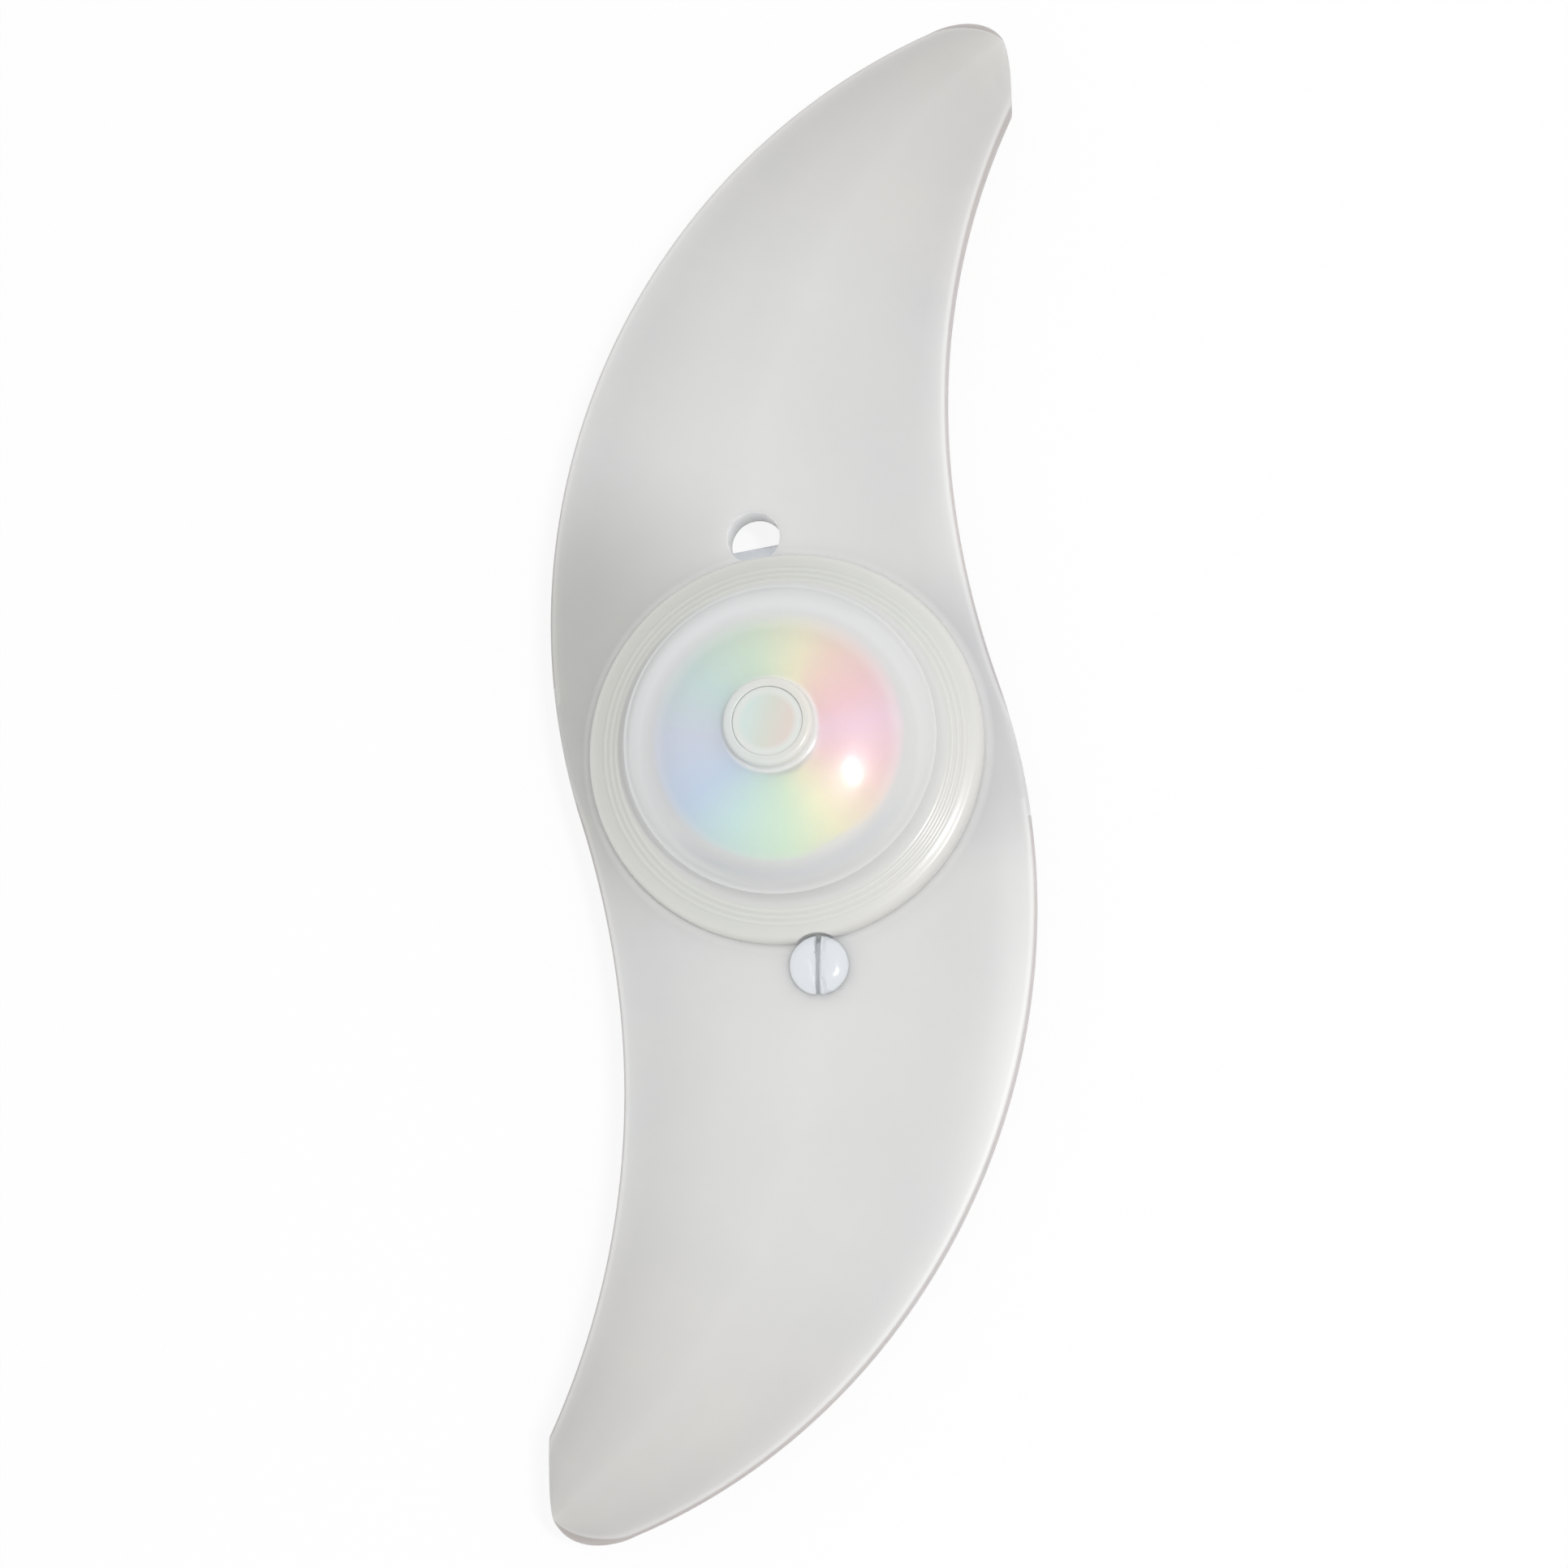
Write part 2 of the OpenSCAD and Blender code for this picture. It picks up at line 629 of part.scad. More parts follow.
module clasp() {
    color("#dfe6ef")
    along_bar() difference() {
        union() {
            linear_extrude(bar_t) {
                translate([-hole_ring, 0]) circle(r = eye_r);
                translate([-hole_ring, -bar_w / 2]) square([hole_ring + tab_x, bar_w]);
            }
            translate([0, 0, bar_t - tab_drop - tab_t]) linear_extrude(tab_t) {
                translate([step_x, -bar_w / 2]) square([tab_end - tab_corner - step_x, bar_w]);
                translate([step_x, tab_corner - bar_w / 2])
                    square([tab_end - step_x, bar_w - 2 * tab_corner]);
                for (side = [-1, 1])
                    translate([tab_end - tab_corner, side * (bar_w / 2 - tab_corner)])
                        circle(r = tab_corner);
            }
            translate([-hole_ring, 0, 0]) snap_pin();
        }
        for (x = [-groove_near, groove_far])
            translate([x, bar_w, bar_t]) rotate([90, 0, 0]) cylinder(h = 2 * bar_w, r = groove_r);
        translate([step_x, -bar_w, -1]) cube([tab_x - step_x, 2 * bar_w, 1 + catch_t + catch_clear]);
        translate([-hole_ring, 0, back_z + 0.6]) rotate([0, 0, slot_bearing])
            translate([-2 * head_r, -snap_slot / 2, 0]) cube([4 * head_r, snap_slot, blade_t + 2]);
    }
}

blade();
silicone_cap();
press_button();
colour_label();
pod_shell();
pod_base();
base_seal();
cover_screws();
circuit_board();
control_chip();
led(0);  // led_1
led(1);  // led_2
led(2);  // led_3
chip_capacitor();
resistor(1);  // resistor_1
resistor(2);  // resistor_2
resistor(3);  // resistor_3
switch_body();
switch_plunger();
coin_cell();
positive_contact();
negative_contact();
clasp();
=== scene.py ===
"""Looks of the spoke light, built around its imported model. Lengths here are in
millimetres, as in the part's source, and MM turns them to metres."""

import math

import bmesh
import bpy
from mathutils import Matrix, Vector


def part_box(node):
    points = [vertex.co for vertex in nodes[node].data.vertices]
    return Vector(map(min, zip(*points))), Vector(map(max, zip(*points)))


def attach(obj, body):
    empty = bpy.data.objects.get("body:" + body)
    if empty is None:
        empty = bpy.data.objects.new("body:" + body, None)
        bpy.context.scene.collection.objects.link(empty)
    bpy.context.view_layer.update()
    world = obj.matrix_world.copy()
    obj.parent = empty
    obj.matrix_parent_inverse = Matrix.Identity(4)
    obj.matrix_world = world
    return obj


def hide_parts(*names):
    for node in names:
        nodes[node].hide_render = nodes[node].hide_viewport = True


MM = 0.001

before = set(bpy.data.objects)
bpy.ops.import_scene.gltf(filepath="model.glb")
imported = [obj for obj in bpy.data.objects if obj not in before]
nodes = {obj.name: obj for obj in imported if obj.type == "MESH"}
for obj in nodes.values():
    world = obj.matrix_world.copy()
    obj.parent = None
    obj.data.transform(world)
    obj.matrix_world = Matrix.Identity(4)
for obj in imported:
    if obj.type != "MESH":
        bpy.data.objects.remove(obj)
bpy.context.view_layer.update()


# Sizes that the part's source gives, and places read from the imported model

HOLE_BEARING = math.radians(112.4)
HOLE_RING = 16.83
HOLE_R = 2.05
HEAD_NOTCH_R = 2.35
OPENING_R = 12.5
SEAT_R, SEAT_DEPTH = 13.7, 1.2
CAP_R = 15.0
BLADE_T = 2.5
EJECTOR = Vector((-13.9, 15.7))
EJECTOR_R, EJECTOR_DEPTH = 2.7, 0.15
KEY_W, KEY_REACH, KEY_H = 3.1, 14.35, 1.2
WINDOW_R = 2.8

BLADE_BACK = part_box("blade")[0].z / MM
BLADE_FRONT = BLADE_BACK + BLADE_T
FLANGE_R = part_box("pod_shell")[1].x / MM
LABEL_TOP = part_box("colour_label")[1].z / MM
RING_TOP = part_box("silicone_cap")[1].z / MM
BUTTON_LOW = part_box("press_button")[0].z / MM
BUTTON_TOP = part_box("press_button")[1].z / MM
PIN = -HOLE_RING * Vector((math.cos(HOLE_BEARING), math.sin(HOLE_BEARING)))


# Node trees

BLACK, WHITE = "#000000", "#FFFFFF"
RAMP, MIX, PRINCIPLED = "ShaderNodeValToRGB", "ShaderNodeMix", "ShaderNodeBsdfPrincipled"
BLEND = {"data_type": "RGBA"}
PRODUCT = {"data_type": "RGBA", "blend_type": "MULTIPLY", "Factor": 1.0}


def linear(hex_colour):
    """An sRGB hex colour as linear RGBA."""
    def one(text):
        c = int(text, 16) / 255
        return c / 12.92 if c <= 0.04045 else ((c + 0.055) / 1.055) ** 2.4
    h = hex_colour.lstrip("#")
    return (one(h[0:2]), one(h[2:4]), one(h[4:6]), 1.0)


def add(tree, kind, settings=None, links=None, stops=(), smooth=False):
    """Adds a node. settings are its properties or, where the name is an input's, that
    input's value; links maps an input's name or number to the socket that feeds it; stops
    are the places and hex colours of a colour ramp, which smooth eases."""
    node = tree.nodes.new(kind)
    for key, value in (settings or {}).items():
        if isinstance(key, str) and hasattr(node, key):
            setattr(node, key, value)
        else:
            node.inputs[key].default_value = value
    for key, socket in (links or {}).items():
        tree.links.new(socket, node.inputs[key])
    if stops:
        elements = node.color_ramp.elements
        node.color_ramp.interpolation = "EASE" if smooth else "LINEAR"
        while len(elements) < len(stops):
            elements.new(0.5)
        for element, (place, colour) in zip(elements, stops):
            element.position = place
            element.color = linear(colour)
    return node


def new_material(name):
    """An empty material tree with an output node. Returns the material and both."""
    material = bpy.data.materials.new(name)
    material.use_nodes = True
    tree = material.node_tree
    tree.nodes.clear()
    return material, tree, tree.nodes.new("ShaderNodeOutputMaterial")


def distance_from(tree, full_mm, x=0.0, y=0.0):
    """How far a point lies in plan from the line through x, y, as a share of full_mm."""
    place = add(tree, "ShaderNodeTexCoord")
    scale = 1 / (full_mm * MM)
    scaled = add(tree, "ShaderNodeMapping", {
        "Location": (-x / full_mm, -y / full_mm, 0), "Scale": (scale, scale, 0)},
        {"Vector": place.outputs["Object"]})
    length = add(tree, "ShaderNodeVectorMath", {"operation": "LENGTH"}, {0: scaled.outputs[0]})
    return length.outputs["Value"]


def across(tree, bearing, span_mm):
    """Runs from 0 to 1 over a span centred on the pod's axis, in the direction of a bearing."""
    place = add(tree, "ShaderNodeTexCoord")
    turned = add(tree, "ShaderNodeMapping", {
        "Location": (0.5, 0, 0), "Rotation": (0, 0, -math.radians(bearing)),
        "Scale": (1 / (span_mm * MM),) * 3}, {"Vector": place.outputs["Object"]})
    return add(tree, "ShaderNodeSeparateXYZ", links={0: turned.outputs[0]}).outputs["X"]


def fine_bump(tree, size_mm, depth_mm):
    """A normal with grain of that size and depth, on Object coordinates."""
    place = add(tree, "ShaderNodeTexCoord")
    grain = add(tree, "ShaderNodeTexNoise", {"Scale": 1 / (size_mm * MM), "Detail": 2.0},
                {"Vector": place.outputs["Object"]})
    bump = add(tree, "ShaderNodeBump", {"Strength": 1.0, "Distance": depth_mm * MM},
               {"Height": grain.outputs[0]})
    return bump.outputs["Normal"]


def frosted_blade_plastic():
    """Frosted polycarbonate light guide, moulded with an etched skin. The eye sees a milky grey
    that pales in the middle of each lobe, as painted shade darkens it towards the edges, with
    painted light and shade at the rim: a thin bright line just inside it, for light that runs
    inside the sheet and leaves it there, and a darker line at the very edge. Painted shade lies
    on the blade left and right of the pod, and painted light next to the cap and in both holes."""
    material, tree, out = new_material("frosted_polycarbonate_painted_light")
    lobe = add(tree, "ShaderNodeAttribute", {"attribute_name": "lobe"})
    parts = add(tree, "ShaderNodeSeparateXYZ", links={0: lobe.outputs["Vector"]})
    place = add(tree, "ShaderNodeTexCoord")
    cloud = add(tree, "ShaderNodeTexNoise", {"Scale": 1 / (9 * MM), "Detail": 3.0},
                {"Vector": place.outputs["Object"]})
    along = add(tree, RAMP, links={0: parts.outputs["Y"]}, stops=[
        (0.0, "#E2E2E1"), (0.35, "#E3E3E2"), (0.6, "#E0E0DF"), (0.8, "#DAD9D7"), (1.0, "#D0CFCD")])
    # Painted shade: darker towards the edges of each lobe, a little lighter again at the very edge.
    painted_shade_crosswise = add(tree, RAMP, links={0: parts.outputs["X"]}, stops=[
        (0.0, WHITE), (0.45, "#FBFBFB"), (0.8, "#F4F4F5"), (0.93, "#F5F5F6"), (1.0, "#F9F9F9")])
    # Painted light and shade at the rim: a darker line at the very edge and a bright line just inside
    # it, for light that leaves the sheet there.
    rim = add(tree, RAMP, links={0: parts.outputs["Z"]}, stops=[
        (0.0, "#DCD6D6"), (0.1, "#DCD6D6"), (0.25, WHITE), (0.4, WHITE), (0.6, "#F8F8F8")])
    clouds = add(tree, RAMP, links={0: cloud.outputs[0]}, stops=[(0.3, "#FCFCFD"), (0.7, "#FFFFFE")])
    # Painted shadow of the pod on the blade to its left, and painted shade to its right.
    painted_shadow_left_of_pod = add(tree, RAMP, links={0: distance_from(tree, 22, -17.5, 0)}, stops=[
        (0.0, "#E2E2E0"), (0.3, "#E3E3E1"), (1.0, WHITE)], smooth=True)
    painted_shade_right_of_pod = add(tree, RAMP, links={0: distance_from(tree, 14, 14.5, 6.5)}, stops=[
        (0.0, "#EDEDEF"), (0.35, "#EEEEF0"), (1.0, WHITE)], smooth=True)
    # Multiplies the lobe's tone by the painted shade and light and by the random clouds.
    colour = along.outputs[0]
    for painted_shading_and_tone in (painted_shade_crosswise, rim, clouds, painted_shadow_left_of_pod, painted_shade_right_of_pod):
        colour = add(tree, MIX, PRODUCT, {"A": colour, "B": painted_shading_and_tone.outputs[0]}).outputs["Result"]

    # Painted light next to the cap's rim, lifting the shade where the cap stands on the blade.
    painted_light_beside_cap = add(tree, RAMP, links={0: distance_from(tree, CAP_R + 1)}, stops=[
        (0.0, "#BCBCBC"), (0.95, "#BCBCBC"), (0.985, BLACK)])
    colour = add(tree, MIX, {**BLEND, "B": linear("#F0F0EE")},
                 {"Factor": painted_light_beside_cap.outputs[0], "A": colour}).outputs["Result"]
    # Painted light on the walls of both holes, lifting the shade inside them.
    for hole in (PIN, -PIN):
        wall = add(tree, RAMP, links={0: distance_from(tree, 3, hole.x, hole.y)}, stops=[
            (0.0, WHITE), (0.687, WHITE), (0.695, BLACK)])
        colour = add(tree, MIX, {**BLEND, "B": linear(WHITE)},
                     {"Factor": wall.outputs[0], "A": colour}).outputs["Result"]

    shader = add(tree, PRINCIPLED, {
        "Roughness": 0.42, "IOR": 1.5, "Subsurface Weight": 0.9, "Subsurface Scale": 3.0 * MM,
        "Subsurface Radius": (1.0, 0.98, 0.95)},
        {"Base Color": colour, "Normal": fine_bump(tree, 0.25, 0.004)})
    tree.links.new(shader.outputs[0], out.inputs["Surface"])
    return material


def silicone_skin():
    """Outside of the silicone cap: satin skin, clearest in the thin dome over the label and
    milky in the thick flange, the foot and the ring, so that the foot has no edge to the eye.
    Its colour holds painted light and shade: a tint of the label's light on the ring, the foot
    and the rim lighter and the flange darker on the side away from the lamp, and a bluish
    crescent of painted shadow below the label, along its flat."""
    material, tree, out = new_material("satin_silicone_painted_light")
    share = distance_from(tree, CAP_R)
    side = across(tree, 345, 2 * CAP_R)
    wall = distance_from(tree, CAP_R, 0.5, -0.9)

    past_ring = add(tree, RAMP, links={0: share}, stops=[(0.22, BLACK), (0.25, WHITE)])
    over_label = add(tree, RAMP, links={0: wall}, stops=[
        (0.0, "#BEBEBE"), (0.55, "#BEBEBE"), (0.62, "#9C9C9C"), (0.69, BLACK)])
    clear = add(tree, MIX, PRODUCT, {"A": past_ring.outputs[0], "B": over_label.outputs[0]})

    # Painted light: the ring takes a tint of the label's colours, bluish on one side and warm on the
    # other, as light scattered through the silicone.
    ring = add(tree, RAMP, links={0: across(tree, 30, 8)}, stops=[(0.0, "#D3D9D9"), (1.0, "#E0DDD5")])
    # Painted light and shade across the cap: the foot and the rim lighter on the side away from the
    # lamp, the flange darker there.
    foot = add(tree, RAMP, links={0: side}, stops=[
        (0.1, "#E6E7E8"), (0.5, "#DEDFDF"), (0.9, "#D8D8D7")])
    flange = add(tree, RAMP, links={0: side}, stops=[
        (0.0, "#CCCCC7"), (0.35, "#D2D3CE"), (0.65, "#D6D7D2"), (1.0, "#DBDAD7")])
    rim = add(tree, RAMP, links={0: side}, stops=[
        (0.0, "#DEDEDA"), (0.5, "#DEDEDA"), (1.0, "#D6D5D2")])

    # Painted shadow: a bluish crescent below the label, along its flat towards the lower right.
    label_edge = add(tree, RAMP, links={0: share}, stops=[
        (0.65, BLACK), (0.68, WHITE), (0.71, WHITE), (0.74, BLACK)])
    lower_right = add(tree, RAMP, links={0: across(tree, 292, 30)}, stops=[
        (0.7, BLACK), (0.8, WHITE)])
    crescent = add(tree, MIX, PRODUCT, {"A": label_edge.outputs[0], "B": lower_right.outputs[0]})
    foot_tone_and_painted_light = add(tree, MIX, {**BLEND, "B": linear("#CED2D5")},
                      {"Factor": crescent.outputs["Result"], "A": foot.outputs[0]})

    dome_part = add(tree, RAMP, links={0: share}, stops=[(0.215, BLACK), (0.24, WHITE)])
    foot_part = add(tree, RAMP, links={0: wall}, stops=[(0.58, BLACK), (0.68, WHITE)])
    flange_part = add(tree, RAMP, links={0: share}, stops=[(0.78, BLACK), (0.86, WHITE)], smooth=True)
    rim_part = add(tree, RAMP, links={0: share}, stops=[(0.96, BLACK), (0.99, WHITE)])
    colour = add(tree, MIX, {**BLEND, "B": linear(WHITE)},
                 {"Factor": dome_part.outputs[0], "A": ring.outputs[0]}).outputs["Result"]
    for part, tone in ((foot_part, foot_tone_and_painted_light.outputs["Result"]), (flange_part, flange.outputs[0]),
                       (rim_part, rim.outputs[0])):
        colour = add(tree, MIX, BLEND, {
            "Factor": part.outputs[0], "A": colour, "B": tone}).outputs["Result"]

    shader = add(tree, PRINCIPLED, {
        "Roughness": 0.32, "IOR": 1.41, "Subsurface Weight": 0.6, "Subsurface Scale": 0.4 * MM,
        "Subsurface Radius": (1.0, 1.0, 0.95), "Coat Weight": 0.4, "Coat Roughness": 0.16,
        "Coat IOR": 1.41},
        {"Base Color": colour, "Transmission Weight": clear.outputs["Result"],
         "Normal": fine_bump(tree, 0.3, 0.003)})
    tree.links.new(shader.outputs[0], out.inputs["Surface"])
    return material


def clear_silicone():
    """Inside of the dome, from a fine-blasted mould: it lets the label's colours through as a
    haze with no edges."""
    material, tree, out = new_material("clear_silicone")
    shader = add(tree, PRINCIPLED, {
        "Base Color": linear(WHITE), "Roughness": 0.35, "IOR": 1.41,
        "Transmission Weight": 1.0, "Subsurface Weight": 1.0,
        "Subsurface Scale": 1.0 * MM, "Subsurface Radius": (1.0, 1.0, 0.9)},
        {"Normal": fine_bump(tree, 0.3, 0.003)})
    tree.links.new(shader.outputs[0], out.inputs["Surface"])
    return material


def button_silicone_painted_light():
    """Face of the push button: milky silicone with painted light on it: a breath of the label's
    colours, as light scattered through it, and a paler band at its outer edge.
    """
    material, tree, out = new_material("button_silicone_painted_light")
    # Painted light: the label's colours, as light scattered through the silicone, bluish on one side
    # and warm on the other.
    painted_label_light = add(tree, RAMP, links={0: across(tree, 0, 5)}, stops=[
        (0.0, "#D6E0DC"), (0.2, "#D2DFDB"), (0.5, "#D5D8CF"), (0.8, "#DCD2CB"), (1.0, "#DCD5D0")])
    # Painted light towards the button's outer edge.
    edge = add(tree, RAMP, links={0: distance_from(tree, BORE_R)}, stops=[
        (0.7, BLACK), (0.88, WHITE)])
    colour = add(tree, MIX, {**BLEND, "B": linear("#DEE1DD")},
                 {"Factor": edge.outputs[0], "A": painted_label_light.outputs[0]})
    shader = add(tree, PRINCIPLED, {
        "Roughness": 0.4, "IOR": 1.41, "Subsurface Weight": 0.6, "Subsurface Scale": 0.4 * MM,
        "Subsurface Radius": (1.0, 1.0, 0.95)},
        {"Base Color": colour.outputs["Result"], "Normal": fine_bump(tree, 0.3, 0.003)})
    tree.links.new(shader.outputs[0], out.inputs["Surface"])
    return material


RAINBOW_BEARING = 13.75


def rainbow_label():
    """Printed film with a rainbow wheel that runs down both halves, from pink on the right
    to blue on the left. Like a disc with fine grooves it throws more light back than paint, and
    a faint glow in the wheel's own colours is painted light that stands for it."""
    material, tree, out = new_material("rainbow_printed_film_painted_glow")
    place = add(tree, "ShaderNodeTexCoord")
    turned = add(tree, "ShaderNodeMapping", {"Rotation": (0, 0, -math.radians(RAINBOW_BEARING))},
                 {"Vector": place.outputs["Object"]})
    axes = add(tree, "ShaderNodeSeparateXYZ", links={0: turned.outputs[0]})
    angle = add(tree, "ShaderNodeMath", {"operation": "ARCTAN2"},
                {0: axes.outputs["Y"], 1: axes.outputs["X"]})
    turn = add(tree, "ShaderNodeMath", {"operation": "DIVIDE", 1: 2 * math.pi},
               {0: angle.outputs[0]})
    share = add(tree, "ShaderNodeMath", {"operation": "ADD", 1: 0.5}, {0: turn.outputs[0]})
    wheel = add(tree, RAMP, links={0: share.outputs[0]}, stops=[
        (0.0, "#A0B4E4"), (0.1, "#62B2F0"), (0.18, "#84E0D4"), (0.27, "#B2F0A0"),
        (0.34, "#FFF486"), (0.4, "#FFC286"), (0.46, "#FF8CA2"), (0.52, "#FF98D0"),
        (0.58, "#FF7A8E"), (0.66, "#FFB474"), (0.71, "#FAF080"), (0.79, "#A8E49C"),
        (0.89, "#80D2C6"), (1.0, "#A0B4E4")])
    # The emission is painted light: the film glows faintly in its own colours though it is no lamp.
    shader = add(tree, PRINCIPLED, {"Roughness": 0.35, "Emission Strength": 0.2},
                 {"Base Color": wheel.outputs[0], "Emission Color": wheel.outputs[0]})
    tree.links.new(shader.outputs[0], out.inputs["Surface"])
    return material


def clear_plastic():
    """Clear polycarbonate moulding: pale bluish, with the white behind it showing through and
    a small sharp highlight."""
    material, tree, out = new_material("clear_polycarbonate")
    shader = add(tree, PRINCIPLED, {
        "Base Color": linear("#E6EAEF"), "Roughness": 0.2, "IOR": 1.5,
        "Transmission Weight": 0.8},
        {"Normal": fine_bump(tree, 1.0, 0.06)})
    tree.links.new(shader.outputs[0], out.inputs["Surface"])
    return material


def plain(name, colour, roughness, metallic=0.0):
    """A solid finish with its own grain: a little uneven in colour and in its surface."""
    spread = 0.04
    material, tree, out = new_material(name)
    place = add(tree, "ShaderNodeTexCoord")
    cloud = add(tree, "ShaderNodeTexNoise", {"Scale": 1 / (4 * MM), "Detail": 3.0},
                {"Vector": place.outputs["Object"]})
    tone = linear(colour)[:3]
    darker = tuple(c * (1 - spread) for c in tone) + (1.0,)
    paler = tuple(min(1, c * (1 + spread)) for c in tone) + (1.0,)
    uneven = add(tree, MIX, {**BLEND, "A": darker, "B": paler}, {"Factor": cloud.outputs[0]})
    shader = add(tree, PRINCIPLED, {"Roughness": roughness, "Metallic": metallic, "IOR": 1.5},
                 {"Base Color": uneven.outputs["Result"], "Normal": fine_bump(tree, 0.3, 0.003)})
    tree.links.new(shader.outputs[0], out.inputs["Surface"])
    return material


# Meshes


def finished(name, bm, materials, body, node, sharp=40):
    """Makes a bmesh in millimetres a piece that stands for a CAD node."""
    bmesh.ops.scale(bm, vec=(MM, MM, MM), verts=bm.verts)
    mesh = bpy.data.meshes.new(name)
    bm.to_mesh(mesh)
    bm.free()
    mesh.shade_smooth()
    mesh.set_sharp_from_angle(angle=math.radians(sharp))
    for material in materials:
        mesh.materials.append(material)
    piece = bpy.data.objects.new(name, mesh)
    bpy.context.scene.collection.objects.link(piece)
    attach(piece, body)
    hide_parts(node)
    return piece


def cylinder(x, y, low, high, r, segments=96):
    """A bmesh cylinder between two heights."""
    bm = bmesh.new()
    bmesh.ops.create_cone(bm, cap_ends=True, segments=segments, radius1=r, radius2=r,
                          depth=high - low,
                          matrix=Matrix.Translation((x, y, (low + high) / 2)))
    return bm


def cut(bm, cutters):
    """The bmesh with the cutters' shapes taken out of it. Frees them all."""
    scene = bpy.context.scene.collection
    def as_object(shape, name):
        mesh = bpy.data.meshes.new(name)
        shape.to_mesh(mesh)
        shape.free()
        made = bpy.data.objects.new(name, mesh)
        scene.objects.link(made)
        return made
    body = as_object(bm, "uncut")
    tools = [as_object(c, "cutter") for c in cutters]
    for tool in tools:
        boolean = body.modifiers.new("cut", "BOOLEAN")
        boolean.operation, boolean.solver, boolean.object = "DIFFERENCE", "EXACT", tool
    done = bmesh.new()
    done.from_object(body, bpy.context.evaluated_depsgraph_get())
    for spare in [body] + tools:
        mesh = spare.data
        bpy.data.objects.remove(spare)
        bpy.data.meshes.remove(mesh)
    return done


def spun(profile, steps=128):
    """A closed profile of (radius, height) points spun once round Z."""
    bm = bmesh.new()
    ring = [bm.verts.new((x, 0, z)) for x, z in profile]
    edges = [bm.edges.new((a, b)) for a, b in zip(ring, ring[1:] + ring[:1])
             if a.co.x > 1e-6 or b.co.x > 1e-6]
    bmesh.ops.spin(bm, geom=ring + edges, cent=(0, 0, 0), axis=(0, 0, 1),
                   angle=2 * math.pi, steps=steps, use_merge=True)
    bmesh.ops.remove_doubles(bm, verts=bm.verts, dist=1e-4)
    bmesh.ops.recalc_face_normals(bm, faces=bm.faces)
    return bm


# Blade: the same loft as the part's, with closer sections

RUN, TURN_FROM, TURN_TO = 63.0, math.radians(-32), math.radians(38.4)
ARC_R = RUN / (TURN_TO - TURN_FROM)
TIP_LENGTH, TIP_LEAN = 3.6, 0.3
TIP_U = 1 - TIP_LENGTH / RUN
MID_W, NEAR_W, FAR_W, END_W = 16.7, 16.8, 12, 3.3
EDGE_T, EDGE_ROUND, TIP_T = 1.7, 0.4, 2.1
CROWN_POWER, CROWN_EXTRA, CROWN_RUN = 2.4, 7.6, 0.6
KEEL_RISE, KEEL_START, KEEL_RUN = 0.4, 0.3, 0.6


def ease(t):
    """A smooth step from 0 to 1."""
    t = min(1, max(0, t))
    return t * t * (3 - 2 * t)


def tip_share(u):
    """Share of the width that the round tip leaves at u, and how far u is into the tip."""
    into = max(0, (abs(u) - TIP_U) / (1 - TIP_U))
    return math.sqrt(max(0, 1 - into * into)), into


def half_width(u):
    """Half the blade's width at u, which runs from 0 in its middle to 1 or -1 at its tips:
    a curve steered by four half-widths."""
    a = abs(u)
    width = (MID_W * (1 - a) ** 3 + 3 * NEAR_W * a * (1 - a) ** 2
             + 3 * FAR_W * a * a * (1 - a) + END_W * a ** 3)
    return width * tip_share(u)[0]


def front_height(v, u):
    """Height of the front over the back, at v from -1 to 1 across the blade. The front is
    flat round the pod, crowned further out, and has a keel towards each tip."""
    share, into = tip_share(u)
    top = BLADE_T + (TIP_T - BLADE_T) * u * u
    power = CROWN_POWER + CROWN_EXTRA * (1 - ease(abs(u) / CROWN_RUN))
    outward = math.hypot(v * share, into)
    keel = KEEL_RISE * ease((abs(u) - KEEL_START) / KEEL_RUN) * share
    return EDGE_T + (top - EDGE_T) * (1 - outward ** power) + keel * (1 - abs(v))


def section(u, front_steps=16, corner_steps=4):
    """Points (offset, height) round the blade's cross-section, the first one repeated last."""
    w = half_width(u)
    r = min(EDGE_ROUND, 0.45 * w)
    quarter = [math.radians(90 * i / corner_steps) for i in range(corner_steps + 1)]
    lower = [(w - r + r * math.cos(a), r - r * math.sin(a)) for a in quarter]
    upper = [(w - r + r * math.sin(a), EDGE_T - r + r * math.cos(a)) for a in quarter]
    shares = [math.sin(math.radians(90 * i / front_steps))
              for i in range(1 - front_steps, front_steps)]
    front = [(v * (w - r), front_height(v, u)) for v in shares]
    left = [(-x, z) for x, z in reversed(lower)] + [(-x, z) for x, z in reversed(upper)]
    return left + front + upper + lower + [left[0]]


